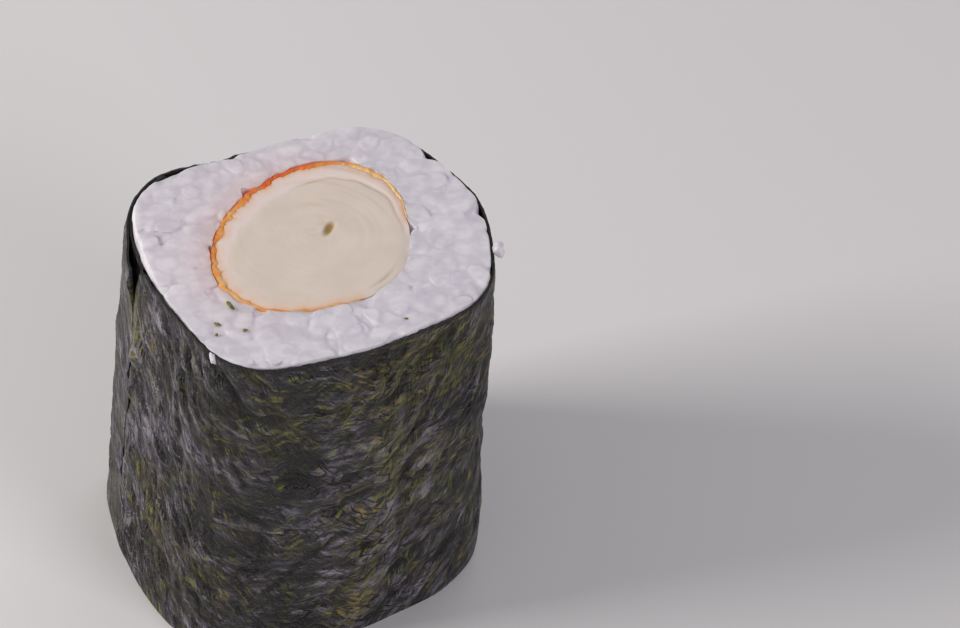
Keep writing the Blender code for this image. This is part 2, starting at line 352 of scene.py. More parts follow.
def press(place):
    """A point of the rice once the knife, the nori and the crab stick have pressed on it."""
    top = place.z > 0.5 * ROLL_HEIGHT
    depth = ROLL_HEIGHT - place.z if top else place.z
    kept = PRESSED + (1.0 - PRESSED) * smooth(0.8 * MM, PLAIN_DEPTH, depth)
    depth = squeezed(depth, PRESS_SOFTNESS) * kept
    height = ROLL_HEIGHT - depth if top else depth
    near_cut = smooth(1.2 * MM, 0.0, depth)

    axis = roll_axis(height)
    angle, radius = polar(place, axis)
    below = rim_height(angle) - height
    over = smooth(0.35 * MM, -0.05 * MM, below)
    inset = WALL_INSET * smooth(0.2 * MM, 1.4 * MM, below) * smooth(0.0, 1.2 * MM, height)
    lump = max(noise.noise(Vector((3.4 * cos(angle), 3.4 * sin(angle), 4.0))), -0.1)
    uneven = (0.15 + 0.35 * smooth(0.0, 0.8, cos(angle - radians(40)))) * MM
    rounded = EDGE_ROUNDING * smooth(0.5 * MM, 0.0, depth)
    notch = sum(size * ridge(turned_away(angle, turn), NOTCH_REACH) for turn, size in NOTCHES)
    limit = roll_radius(angle, height) + over * (RIM_BULGE + uneven * lump)
    limit -= inset + rounded + near_cut * notch
    place = on_circle(axis, angle, limit - squeezed(limit - radius, SIDE_SOFTNESS))

    centre = axis + STICK_CENTRE
    angle, radius = polar(place, centre)
    gap = sum(ridge(turned_away(angle, turn), GAP_REACH) for turn in GAP_TURNS)
    lip = max(0.0, noise.noise(Vector((7.0 * cos(angle), 7.0 * sin(angle), 9.0))))
    lip *= skin_cover(angle, 0.05)
    limit = stick_radius(angle) + near_cut * (GAP_DEPTH * gap - 0.45 * MM * lip)
    return on_circle(centre, angle, limit + squeezed(radius - limit, SIDE_SOFTNESS))


def one_piece(mesh):
    """The mesh without the specks that the remesher leaves beside the main piece."""
    left = set(mesh.verts)
    islands = []
    while left:
        island = [left.pop()]
        for vertex in island:
            near = {edge.other_vert(vertex) for edge in vertex.link_edges} & left
            left -= near
            island.extend(near)
        islands.append(island)
    islands.sort(key=len)
    specks = [vertex for island in islands[:-1] for vertex in island]
    bmesh.ops.delete(mesh, geom=specks, context="VERTS")
    return mesh


def fused_grains(random):
    """The core and the grains in one skin, with the plain walls thinned out."""
    mesh = rice_core()
    lines = lay_grains(mesh, ROLL_HEIGHT, -1.0, random)
    lines += lay_grains(mesh, 0.0, 1.0, random)
    fused = shown("rice_fused", mesh)
    remesh = fused.modifiers.new("remesh", "REMESH")
    remesh.mode = "VOXEL"
    remesh.voxel_size = RICE_VOXEL
    fused = shown("rice_remeshed", applied(fused))
    walls = fused.vertex_groups.new(name="walls")
    deep = [
        vertex.index for vertex in fused.data.vertices
        if PLAIN_DEPTH < vertex.co.z < ROLL_HEIGHT - PLAIN_DEPTH
    ]
    walls.add(deep, 1.0, "REPLACE")
    thin = fused.modifiers.new("thin", "DECIMATE")
    thin.ratio = 1.0 - 0.97 * len(deep) / len(fused.data.vertices)
    thin.vertex_group = "walls"
    return one_piece(applied(fused)), lines


def rice():
    random = Random(11)
    mesh, lines = fused_grains(random)
    tree = KDTree(5 * len(lines))
    for number, line in enumerate(lines):
        for point in line:
            tree.insert(point, number)
    tree.balance()
    tints = [random.random() for line in lines]
    tint = mesh.verts.layers.float.new("tint")
    dyed = mesh.verts.layers.float.new("dyed")
    grain_gap_shade = mesh.verts.layers.float.new("grain_gap_shade")
    for vertex in mesh.verts:
        depth = min(vertex.co.z, ROLL_HEIGHT - vertex.co.z)
        nearest = tree.find_n(vertex.co, 6)
        first = nearest[0]
        others = [found[2] for found in nearest if found[1] != first[1]]
        gap = (others[0] - first[2]) if others else CREASE_WIDTH
        near_cut = 1.0 - smooth(0.8 * MM, 2.0 * MM, depth)
        open_here = smooth(-0.15, 0.4, noise.noise(vertex.co / (2.4 * MM)))
        # Painted shade: near the cuts the creases between the grains are coloured a greyer white,
        # and sunk as well.
        creased = near_cut * (1.0 - smooth(0.0, CREASE_WIDTH, gap)) * (0.25 + 0.75 * open_here)
        vertex[grain_gap_shade] = creased
        vertex[tint] = tints[first[1]]
        vertex.co = press(vertex.co)
        angle, radius = polar(vertex.co, roll_axis(vertex.co.z) + STICK_CENTRE)
        past = max(radius - stick_radius(angle), 0.0)
        left = smooth(-0.3, 0.9, cos(angle - radians(170)))
        vertex[dyed] = left * skin_cover(angle, 0.2) * exp(-past / (1.4 * MM)) * 0.42
        up = 1.0 if vertex.co.z > 0.5 * ROLL_HEIGHT else -1.0
        sunk = TINT_DEPTH * near_cut * (1.0 - vertex[tint]) + CREASE_DEPTH * creased
        vertex.co.z -= up * sunk
    bmesh.ops.smooth_vert(
        mesh, verts=mesh.verts, factor=0.5, use_axis_x=True, use_axis_y=True, use_axis_z=True
    )
    bmesh.ops.recalc_face_normals(mesh, faces=mesh.faces)
    return finished("rice_ring", mesh, steamed_rice(), "rice", "rice")


rice()

# Crab stick. White fish paste (surimi) spread in a sheet, cooked and rolled up, so its outer
# turn is a pale crescent round the core and a pinhole is left where the rolling began.

CORE_SHARE = 0.86  # the core's radius as a share of the stick's
CORE_SHIFT = 0.16  # the same, added towards CORE_TURN
CORE_TURN = radians(315)
OPEN_TURN = radians(64)  # here the turns come apart a little
ARC_SHARE = 0.91  # the short slit near the edge
ARC_TURN = radians(324)
ARC_REACH = radians(11)
PITH_PLACE = Vector((1.2, 1.15, 0.0)) * MM
PITH_SIZE = (0.36 * MM, 0.82 * MM)
PITH_DEPTH = 0.16 * MM
SKIN_THICKNESS = 0.6 * MM
STICK_FACE_ROWS = 62
STICK_WALL_ROWS = 24


def skin_depth(angle, height):
    """How thick the dyed skin is: ragged, and thin below and towards its ends."""
    ragged = noise.noise(Vector((9.0 * cos(angle), 9.0 * sin(angle), height / (2.5 * MM))))
    ragged += 0.5 * noise.noise(Vector((26.0 * cos(angle), 26.0 * sin(angle), 5.0)))
    start, end = SKIN_ARC
    turned = (angle - start) % tau
    full = smooth(0.0, radians(40), turned) * smooth(0.0, radians(30), end - start - turned)
    full *= 0.4 + 0.6 * smooth(-0.35, 0.35, cos(angle - radians(145)))
    return SKIN_THICKNESS * (0.2 + 0.8 * full) * (1.0 + 0.8 * ragged)


def fish_paste():
    """Cooked surimi: smooth, cream white and moist, letting light in a little. The outer
    turn is paler and pinker, and dye has bled into it from the skin."""
    finish, tree, shader = new_finish("cooked_fish_paste")
    place = add_node(tree, "TexCoord").outputs["Object"]
    lumps = add_node(
        tree, "TexNoise", {"Vector": place, "Scale": 1.0 / (2.5 * MM), "Detail": 4.0}
    )
    shade = add_node(
        tree, "ValToRGB", {"Fac": lumps},
        stops=((0.3, colour("#e5d8c8")), (0.7, colour("#ecdfd1"))),
    )
    # The tan of the line is painted shade in the groove between the turns, the slit and the
    # pinhole.
    shade = stained(
        tree, shade, (("turn", "#f3e5dc"), ("line", "#a8873c"), ("dyed", "#f2b47c"))
    )
    grain = add_node(
        tree, "TexNoise", {"Vector": place, "Scale": 1.0 / (0.4 * MM), "Detail": 2.0}
    )
    bump = add_node(
        tree, "Bump", {"Height": grain, "Distance": 0.02 * MM, "Strength": 0.5}
    )
    tree.links.new(shade.outputs[2], shader.inputs["Base Color"])
    tree.links.new(bump.outputs[0], shader.inputs["Normal"])
    shader.inputs["Roughness"].default_value = 0.45
    shader.inputs["IOR"].default_value = 1.4
    shader.inputs["Subsurface Weight"].default_value = 0.4
    shader.inputs["Subsurface Radius"].default_value = (1.0, 0.8, 0.6)
    shader.inputs["Subsurface Scale"].default_value = 0.8 * MM
    return finish


def turn_line(angle, radius):
    """Where the core meets the outer turn, and how strongly the line between them shows."""
    wander = 0.25 * MM * noise.noise(Vector((4.0 * cos(angle), 4.0 * sin(angle), 7.0)))
    edge = stick_radius(angle) * (CORE_SHARE + CORE_SHIFT * cos(angle - CORE_TURN)) + wander
    open_part = smooth(0.55, 0.95, cos(angle - OPEN_TURN))
    return edge, ridge(radius - edge, 0.13 * MM) * (0.2 + 0.8 * open_part)


def crab_stick():
    rows = 2 * STICK_FACE_ROWS + STICK_WALL_ROWS

    def place(along, around):
        """From the middle of the lower face out, up the wall and in to the upper one's."""
        row = round(around * rows)
        share = min(row / STICK_FACE_ROWS, (rows - row) / STICK_FACE_ROWS, 1.0)
        level = min(max((row - STICK_FACE_ROWS) / STICK_WALL_ROWS, 0.0), 1.0)
        height = ROLL_HEIGHT * level
        angle = along * tau
        under = skin_depth(angle, height) * skin_cover(angle, radians(9))
        centre = roll_axis(height) + STICK_CENTRE
        return on_circle(centre, angle, (stick_radius(angle) - under) * share)

    mesh = closed(mapped_grid(300, rows, place))
    turn = mesh.verts.layers.float.new("turn")
    dyed = mesh.verts.layers.float.new("dyed")
    line = mesh.verts.layers.float.new("line")
    for vertex in mesh.verts:
        height = vertex.co.z
        centre = roll_axis(height) + STICK_CENTRE
        angle, radius = polar(vertex.co, centre)
        edge, groove = turn_line(angle, radius)
        vertex[turn] = smooth(-0.35 * MM, 0.25 * MM, radius - edge)
        depth = stick_radius(angle) - skin_depth(angle, height) - radius
        vertex[dyed] = 0.75 * skin_cover(angle, 0.15) * exp(-max(depth, 0.0) / (0.35 * MM))
        if 0.01 * MM < height < ROLL_HEIGHT - 0.01 * MM:
            continue
        up = 1.0 if height > 0.5 * ROLL_HEIGHT else -1.0
        arc = ridge(turned_away(angle, ARC_TURN), ARC_REACH)
        short = ridge(radius - ARC_SHARE * stick_radius(angle), 0.1 * MM) * arc
        inside = vertex.co - centre - PITH_PLACE
        skew = inside.x - 0.25 * inside.y
        pith = exp(-((skew / PITH_SIZE[0]) ** 2 + (inside.y / PITH_SIZE[1]) ** 2) ** 2)
        rings = noise.noise(Vector((1.4 * cos(angle), 1.4 * sin(angle), radius / (0.45 * MM))))
        broad = noise.noise(vertex.co / (3.0 * MM))
        drop = 0.1 * MM * groove + 0.12 * MM * short + PITH_DEPTH * pith
        drop += 0.015 * MM * (1.0 + rings) + 0.06 * MM * (1.0 + broad)
        rounded = smooth(0.9 * MM, 0.0, stick_radius(angle) - radius)
        vertex.co.z -= up * (drop + 0.12 * MM * rounded)
        # The line is painted shade, a tan, in the sunk groove, slit and pinhole, and in the sunk
        # rings where the turns come apart.
        streaks = max(0.0, rings) * ridge(turned_away(angle, OPEN_TURN), radians(45))
        vertex[line] = min(1.0, 0.26 * groove + 0.32 * short + 0.95 * pith + 0.3 * streaks)
    return finished("surimi_roll", mesh, fish_paste(), "surimi", "crab_stick")


crab_stick()

# Dyed skin. The thin outer layer of the crab stick, fish paste dyed with paprika and carmine.
# It is ragged where it was cut, red where it is thick and yellow where it runs out.

DYE_PARTS = (
    (0.85, radians(118), radians(36)),
    (0.35, radians(262), radians(20)),
    (0.40, radians(190), radians(34)),
)  # how strong the dye is, where, and over what reach


def dyed_paste():
    """Dyed surimi: the same moist paste, strong orange-red where the dye is thick and
    yellow-orange where the layer runs out."""
    finish, tree, shader = new_finish("dyed_fish_paste")
    place = add_node(tree, "TexCoord").outputs["Object"]
    patches = add_node(tree, "TexNoise", {"Vector": place, "Scale": 1.0 / MM, "Detail": 3.0})
    shift = add_node(tree, "Math", {0: patches, 1: 0.8, 2: -0.4}, operation="MULTIPLY_ADD")
    dye = add_node(tree, "Attribute", attribute_name="dye").outputs["Fac"]
    amount = add_node(tree, "Math", {0: dye, 1: shift}, operation="ADD", use_clamp=True)
    shade = add_node(
        tree, "ValToRGB", {"Fac": amount},
        stops=((0.0, colour("#f4d292")), (0.4, colour("#f59a45")), (1.0, colour("#ea5418"))),
    )
    tree.links.new(shade.outputs["Color"], shader.inputs["Base Color"])
    shader.inputs["Roughness"].default_value = 0.4
    shader.inputs["IOR"].default_value = 1.4
    shader.inputs["Subsurface Weight"].default_value = 0.25
    shader.inputs["Subsurface Radius"].default_value = (1.0, 0.4, 0.15)
    shader.inputs["Subsurface Scale"].default_value = 0.6 * MM
    return finish


def crab_stick_skin():
    start, end = SKIN_ARC
    wall_rows, edge_rows = 30, 4
    rows = 2 * (wall_rows + edge_rows)

    def place(along, around):
        """Round the band's section: out over the lower edge, up, in over the upper edge."""
        angle = start + (end - start) * along
        row = round(around * rows) % rows
        if row < edge_rows:
            share, up = row / edge_rows, 0.0
        elif row < edge_rows + wall_rows:
            share, up = 1.0, (row - edge_rows) / wall_rows
        elif row < 2 * edge_rows + wall_rows:
            share, up = 1.0 - (row - edge_rows - wall_rows) / edge_rows, 1.0
        else:
            share, up = 0.0, 1.0 - (row - 2 * edge_rows - wall_rows) / wall_rows
        crown = 0.10 * MM * (1.0 - abs(2.0 * share - 1.0) ** 2)
        uneven = 0.1 * MM * noise.noise(Vector((20.0 * cos(angle), 20.0 * sin(angle), up)))
        edge = crown + uneven - 0.16 * MM
        low, high = -edge, ROLL_HEIGHT + edge
        height = low + (high - low) * up
        thick = skin_depth(angle, height)
        centre = roll_axis(height) + STICK_CENTRE
        return on_circle(centre, angle, stick_radius(angle) - thick * (1.0 - share))

    mesh = closed(mapped_grid(420, rows, place))
    dye = mesh.verts.layers.float.new("dye")
    for vertex in mesh.verts:
        angle, radius = polar(vertex.co, roll_axis(vertex.co.z) + STICK_CENTRE)
        outward = 1.0 - (stick_radius(angle) - radius) / SKIN_THICKNESS
        patch = noise.noise(Vector((2.2 * cos(angle), 2.2 * sin(angle), vertex.co.z / (9 * MM))))
        strong = sum(
            size * ridge(turned_away(angle, turn), reach) for size, turn, reach in DYE_PARTS
        )
        vertex[dye] = strong + 0.3 * (outward - 0.3) + 0.2 * patch
    return finished(
        "dyed_surimi_skin", mesh, dyed_paste(), "dyed_surimi", "crab_stick_skin"
    )


crab_stick_skin()

# Nori. A toasted sheet of laver: shredded red seaweed matted and dried thin as paper, almost
# black with a violet gloss, olive where it is thin. On the moist rice it shrinks and creases.
# Its free end laps over its start at the left, and stands off a little near the top.

NORI_THICKNESS = 0.2 * MM
NORI_GAP = 0.05 * MM
NORI_SLACK = 0.28 * MM  # how far the sheet stands off the rice below the rim
TIGHT_PLACES = (
    (radians(169), radians(34), -3.0 * MM, 0.9),
    (radians(2), radians(26), 25.0 * MM, 1.0),
)  # where the sheet lies closer, over what reach, from what height, and how much of the slack
SWELLS = (
    # degrees round the roll, height in mm, reach round and up in the same, how far out in mm
    (350, 2.5, 20, 4.5, 0.35),
    (356, 15.5, 18, 4.5, -0.35),
    (226, 0.0, 22, 4.5, 0.4),
    (339, 0.0, 11, 2.6, -0.45),
)
FOLDS = (
    # points along each, in degrees round the roll and mm of height
    ((322, 25.6), (316, 23.1), (310, 19.9)),
    ((320, 16.0), (309, 15.4)),
    ((287, 12.2), (274, 9.9), (263, 6.5)),
    ((272, 9.5), (259, 9.6)),
    ((228, 30.5), (236, 27.9), (243, 25.1), (250, 22.1), (255, 19.1)),
    ((228, 24.4), (233, 17.7)),
    ((220, 17.9), (229, 15.9)),
    ((40, 24.0), (52, 19.0), (58, 14.0)),
    ((95, 22.0), (104, 16.5)),
    ((75, 9.0), (86, 6.5)),
)
FOLD_WIDTH = 0.32 * MM
FOLD_DEPTH = 0.2 * MM
# A painted highlight makes the sheet paler beside each fold, out to this distance.
FOLD_HIGHLIGHT_REACH = 0.8 * MM  # the sheet is paler up to here beside a fold
PRESSED_TURN = radians(0)  # the mat pressed the wrinkles flatter on this side
PRESSED_REACH = radians(30)
PRESSED_SHARE = 0.55
FOOT_FLARE = 0.12 * MM
NORI_START = radians(150)
NORI_LAP = radians(43)
NORI_RISE = radians(20)  # the stretch over which the free end climbs onto the first layer
NORI_LAYER = 0.26 * MM
LAP_FALL = radians(14)  # past the lap, the first layer sinks back over this stretch
RAGGED_END = radians(4)
FLAP_LIFT = 0.9 * MM
FLAP_HEIGHT = 30.0 * MM
FLAP_REACH = 2.4 * MM
NORI_COLUMNS = 480
NORI_ROWS = 176
NORI_EDGE_ROWS = 2
NORI_INNER_ROWS = 6
SHEET_RADIUS = 14.3 * MM  # turns an angle into a length along the sheet
SHRED_WAYS = (
    (150, -42), (235, -48), (258, -25), (285, -2), (310, 42), (345, 56), (372, 40),
    (420, 0), (470, -30), (550, -42),
)  # degrees round the roll, and how steeply the shreds rise there
CROSSINGS = (0, -34, 38)  # degrees by which each layer of shreds turns off those ways
STEEPEST = 70
FIBRES = ((0, 5.0, 0.65, 0.4), (0, 1.8, 0.32, 0.24), (1, 2.0, 0.42, 0.2), (2, 1.8, 0.36, 0.16))
# layer, length and width in mm, and weight in the relief
CURL_SIZE = 4.0  # the shreds bend over this many mm
CURL = 1.6  # and by up to about half this many
# How far the cracks lower the relief: painted shade in the colour, and a dip in the bump.
CRACK_SHADE = 0.12
# Thin lines of painted shade, as in the creases of crumpled laver.
CRACKS = (
    # layer, length and width of the scales between them in mm, seed, size of the patches
    (0, 5.0, 1.1, 41.0, 5.0),
    (1, 3.2, 0.9, 53.0, 4.0),
)
SHRED_KINDS = (
    # layer, length and width in mm, seed, thin and bright colours, size of the patches
    (0, 1.9, 0.37, 11.0, "#474820", "#8c8639", 3.5),
    (1, 1.3, 0.3, 17.0, "#44401f", "#978447", 4.5),
    (2, 1.5, 0.32, 23.0, "#424a1f", "#838b39", 3.0),
)
GREEN_PLACES = (
    # degrees round the roll, height in mm, reach round and up in the same, how green
    (195, 26.0, 9, 2.5, 1.0),
    (262, 25.0, 20, 3.5, 0.5),
    (318, 27.5, 24, 3.0, 1.2),
    (308, 16.0, 20, 9.0, 0.7),
    (222, 8.0, 15, 4.0, 0.5),
    (298, 4.5, 9, 2.0, 1.1),
    (40, 20.0, 30, 7.0, 0.8),
    (105, 9.0, 30, 6.0, 0.8),
)
LIGHT_AND_SHADE_PLACES = (
    # the same, and how much paler or darker: painted light on the left and front right, which
    # face the lamps, and painted shade at the front and on the right
    (200, 22.0, 30, 11.0, 2.4),
    (306, 12.0, 20, 10.0, 2.3),
    (262, 14.0, 16, 9.0, -1.3),
    (262, 28.5, 28, 3.0, -1.7),
    (346, 16.0, 14, 12.0, -1.8),
)


def shred_way(degrees):
    """The shreds' rise at a place round the roll, in degrees."""
    turned = (degrees - SHRED_WAYS[0][0]) % 360 + SHRED_WAYS[0][0]
    for (start, first), (end, last) in zip(SHRED_WAYS, SHRED_WAYS[1:]):
        if start <= turned <= end:
            return first + (last - first) * smooth(start, end, turned)
    return SHRED_WAYS[-1][1]


def shred_lines(crossing):
    """For each column of the sheet: how far along a shred it is, and how high that one rose."""
    lines = []
    along = rise = 0.0
    step = (tau + NORI_LAP) / NORI_COLUMNS
    for column in range(NORI_COLUMNS + 1):
        lines.append((along, rise))
        way = shred_way((NORI_START + column * step) / radians(1)) + crossing
        way = radians(max(-STEEPEST, min(STEEPEST, way)))
        along += step * SHEET_RADIUS / cos(way)
        rise += step * SHEET_RADIUS * sin(way) / cos(way)
    return lines


def stretched(place, length, width, seed):
    return noise.noise(Vector((place.x / length, place.y / width, seed)))


def wrinkles(sheet, layers):
    """How far the sheet stands out, and how much shade to paint in its cracks: dents, shreds and
    creases.
    """
    bend = noise.noise_vector(sheet / (3.0 * MM)) * (0.5 * MM)
    strength = 0.8 + 0.9 * noise.noise(sheet / (5.0 * MM) + Vector((3.0, 8.0, 1.0)))
    height = 0.3 * MM * noise.noise(sheet / (6.0 * MM) + Vector((9.0, 2.0, 0.0)))
    height += 0.12 * MM * noise.noise(sheet / (2.2 * MM) + Vector((1.0, 7.0, 0.0)))
    height += 0.05 * MM * noise.noise(sheet / (0.8 * MM))
    crack_shade = 0.0
    for number, layer in enumerate(layers):
        place = layer + bend
        share = 1.0 if number == 0 else 0.6
        fold = stretched(place, 5.5 * MM, 1.6 * MM, 3.0 + number)
        fine = stretched(place, 1.6 * MM, 0.5 * MM, 13.0 + number)
        here = smooth(-0.1, 0.3, stretched(place, 3.0 * MM, 3.0 * MM, 23.0 + number))
        shred = stretched(place, 3.2 * MM, 0.85 * MM, 33.0 + number)
        height += share * strength * MM * (0.42 * fold + 0.16 * shred + 0.07 * fine)
        # The folds' troughs and the lines along the shreds sink a little and get painted shade.
        sunk = max(smooth(0.16, 0.42, -fold), 0.7 * here * ridge(shred, 0.06))
        crack_shade = max(crack_shade, share * sunk)
    return height - 0.15 * MM * crack_shade, 0.85 * crack_shade


def fold_steps():
    """The folds' straight steps, as pairs of places on the sheet."""
    lines = [
        [Vector((radians(turn) * SHEET_RADIUS, height * MM, 0.0)) for turn, height in points]
        for points in FOLDS
    ]
    return [step for line in lines for step in zip(line, line[1:])]


def off_folds(steps, angle, height):
    """How far a place on the sheet is from the nearest fold."""
    spot = Vector((angle % tau * SHEET_RADIUS, height, 0.0))
    spot += noise.noise_vector(spot / (1.5 * MM)) * (0.35 * MM)
    nearest = 1.0
    for start, end in steps:
        share = geometry.intersect_point_line(spot, start, end)[1]
        beside = start.lerp(end, min(max(share, 0.0), 1.0))
        nearest = min(nearest, (spot - beside).length)
    return nearest


def toasted_laver():
    """Toasted laver, moistened by the rice: near-black violet with a soft gloss and shreds of
    olive and ochre, with painted shade that turns its cracks and folds near black."""
    finish, tree, shader = new_finish("toasted_laver")
    sheet = add_node(tree, "Attribute", attribute_name="sheet").outputs["Vector"]
    crack_shade, green, light_and_shade = [
        add_node(tree, "Attribute", attribute_name=name).outputs["Fac"]
        for name in ("crack_shade", "green", "light_and_shade")
    ]
    curls = add_node(tree, "TexNoise", {"Vector": sheet, "Scale": 1.0 / CURL_SIZE, "Detail": 4.0})
    bends = add_node(
        tree, "VectorMath", {0: curls.outputs["Color"], 1: (CURL, CURL, 0.0)},
        operation="MULTIPLY",
    )

    def shreds(number, length, width, seed, kind, inputs, **settings):
        """A pattern drawn out along the shreds of one layer."""
        lines = add_node(tree, "Attribute", attribute_name=f"shreds_{number}")
        bent = add_node(
            tree, "VectorMath", {0: lines.outputs["Vector"], 1: bends}, operation="ADD"
        )
        place = {"Location": (seed, seed, 0.0), "Scale": (1.0 / length, 1.0 / width, 0.0)}
        scaled = add_node(tree, "Mapping", {"Vector": bent, **place})
        return add_node(tree, kind, {"Vector": scaled, "Scale": 1.0, **inputs}, **settings)

    def patches(seed, size):
        """Soft patches of about a size, in mm."""
        moved = add_node(tree, "VectorMath", {0: sheet, 1: (seed, seed, 0.0)}, operation="ADD")
        return add_node(tree, "TexNoise", {"Vector": moved, "Scale": 1.0 / size, "Detail": 3.0})

    relief = 0.0
    for number, length, width, weight in FIBRES:
        fibres = shreds(
            number, length, width, 10.0 * width, "TexNoise", {"Detail": 3.0, "Roughness": 0.6},
            noise_dimensions="2D",
        )
        relief = add_node(
            tree, "Math", {0: fibres, 1: weight, 2: relief}, operation="MULTIPLY_ADD"
        )
    for number, length, width, seed, size in CRACKS:
        scales = shreds(
            number, length, width, seed, "TexNoise", {"Detail": 1.0}, noise_dimensions="2D"
        )
        beside = add_node(tree, "Math", {0: scales, 1: 0.5}, operation="SUBTRACT")
        beside = add_node(tree, "Math", {0: beside}, operation="ABSOLUTE")
        line = add_node(
            tree, "MapRange", {"Value": beside, "From Max": 0.045, "To Min": 1.0, "To Max": 0.0}
        )
        here = add_node(
            tree, "MapRange", {"Value": patches(seed, size), "From Min": 0.46, "From Max": 0.56}
        )
        line = add_node(tree, "Math", {0: line, 1: here}, operation="MULTIPLY")
        crack_shade = add_node(tree, "Math", {0: crack_shade, 1: line}, operation="MAXIMUM")
    relief = add_node(
        tree, "Math", {0: crack_shade, 1: -CRACK_SHADE, 2: relief}, operation="MULTIPLY_ADD"
    )
    paler = add_node(tree, "Math", {0: relief, 1: 0.204}, operation="SUBTRACT")
    # Paler with soft patches of tone, and with the painted light and shade.
    for amount, weight in ((patches(71.0, 3.0), 0.4), (light_and_shade, 0.035)):
        paler = add_node(
            tree, "Math", {0: amount, 1: weight, 2: paler}, operation="MULTIPLY_ADD"
        )
    # Raised shreds go lighter and sunk ones darker: partly the laver's own thick and thin places,
    # partly painted sheen on the raised shreds.
    shade = add_node(
        tree, "ValToRGB", {"Fac": paler},
        stops=(
            (0.4, colour("#100e10")),
            (0.49, colour("#353136")),
            (0.57, colour("#696370")),
            (0.68, colour("#a09aa4")),
        ),
    )
    olive = add_node(tree, "Math", {0: green, 1: 0.3}, operation="MULTIPLY")
    inputs = {"Factor": olive, 6: shade, 7: colour("#5d5544")}
    shade = add_node(tree, "Mix", inputs, data_type="RGBA")
    for number, length, width, seed, thin, bright, size in SHRED_KINDS:
        cells = shreds(number, length, width, seed, "TexVoronoi", {}, voronoi_dimensions="2D")
        kind = add_node(tree, "SeparateXYZ", {"Vector": cells.outputs["Color"]})
        ramp = add_node(
            tree, "ValToRGB", {"Fac": kind},
            stops=(
                (0.0, colour("#0d0c09", 0.9)),
                (0.16, colour("#17150f", 0.0)),
                (0.5, colour(thin, 0.0)),
                (0.6, colour(thin, 0.8)),
                (1.0, colour(bright, 0.9)),
            ),
        )
        greener = add_node(
            tree, "Math", {0: green, 1: 0.25, 2: patches(seed, size)}, operation="MULTIPLY_ADD"
        )
        where = add_node(
            tree, "MapRange",
            {"Value": greener, "From Min": 0.545, "From Max": 0.66, "To Min": 0.08},
        )
        body = add_node(
            tree, "MapRange",
            {
                "Value": cells.outputs["Distance"],
                "From Min": 0.25, "From Max": 0.6, "To Min": 1.0, "To Max": 0.0,
            },
        )
        share = ramp.outputs["Alpha"]
        for part in (where, body):
            share = add_node(tree, "Math", {0: share, 1: part}, operation="MULTIPLY")
        inputs = {"Factor": share, 6: shade, 7: ramp}
        shade = add_node(tree, "Mix", inputs, data_type="RGBA")
        relief = add_node(tree, "Math", {0: body, 1: 0.05, 2: relief}, operation="MULTIPLY_ADD")
    # Painted shade: the cracks, the folds' grooves and the strip below the rim go near black.
    inputs = {"Factor": crack_shade, 6: shade, 7: colour("#0b0a08")}
    shade = add_node(tree, "Mix", inputs, data_type="RGBA")
    rough = add_node(
        tree, "MapRange",
        {"Value": relief, "From Min": 0.45, "From Max": 0.7, "To Min": 0.52, "To Max": 0.25},
    )
    bump = add_node(tree, "Bump", {"Height": relief, "Distance": 0.8 * MM, "Strength": 0.9})
    tree.links.new(shade.outputs[2], shader.inputs["Base Color"])
    tree.links.new(rough.outputs[0], shader.inputs["Roughness"])
    tree.links.new(bump.outputs[0], shader.inputs["Normal"])
    shader.inputs["IOR"].default_value = 1.5
    return finish


def nori_section(row):
    """How far up the sheet a row lies, and whether it is on the outer side (0) or inner (1)."""
    rim_end = NORI_ROWS + NORI_EDGE_ROWS
    inner_end = rim_end + NORI_INNER_ROWS
    if row <= NORI_ROWS:
        return row / NORI_ROWS, 0.0
    if row <= rim_end:
        return 1.0, (row - NORI_ROWS) / NORI_EDGE_ROWS
    if row <= inner_end:
        return 1.0 - (row - rim_end) / NORI_INNER_ROWS, 1.0
    return 0.0, 1.0 - (row - inner_end) / NORI_EDGE_ROWS


def patched(places, angle, height):
    return sum(
        amount * ridge(turned_away(angle, radians(turn)) / radians(round_reach), 1.0)
        * ridge(height / MM - middle, up_reach)
        for turn, middle, round_reach, up_reach, amount in places
    )


def ragged_end(height):
    """How much further round the free end reaches at a height."""
    uneven = noise.noise(Vector((height / (5.0 * MM), 3.0, 0.0)))
    return RAGGED_END * (uneven + 0.4 * noise.noise(Vector((height / (1.3 * MM), 6.0, 0.0))))


def nori_climb(turned, angle, height):
    """How far the sheet lies off the rice: slack below the rim, the climb over its own
    start, and the free end's lift."""
    beyond = turned - NORI_LAP - ragged_end(height)
    past = smooth(LAP_FALL, radians(1), beyond) * smooth(radians(-1.2), radians(0.5), beyond)
    over = smooth(tau - NORI_RISE, tau, turned)
    free = smooth(tau + 0.55 * NORI_LAP, tau + NORI_LAP, turned)
    lift = FLAP_LIFT * free * ridge(height - FLAP_HEIGHT, FLAP_REACH)
    slack = NORI_SLACK * smooth(0.0, 2.5 * MM, rim_height(angle) - height)
    for turn, reach, low, share in TIGHT_PLACES:
        above = smooth(low, low + 2.0 * MM, height)
        slack *= 1.0 - share * above * ridge(turned_away(angle, turn), reach)
    slack += patched(SWELLS, angle, height) * MM
    return slack + FOOT_FLARE * smooth(3.0 * MM, 0.0, height) + NORI_LAYER * (past + over) + lift


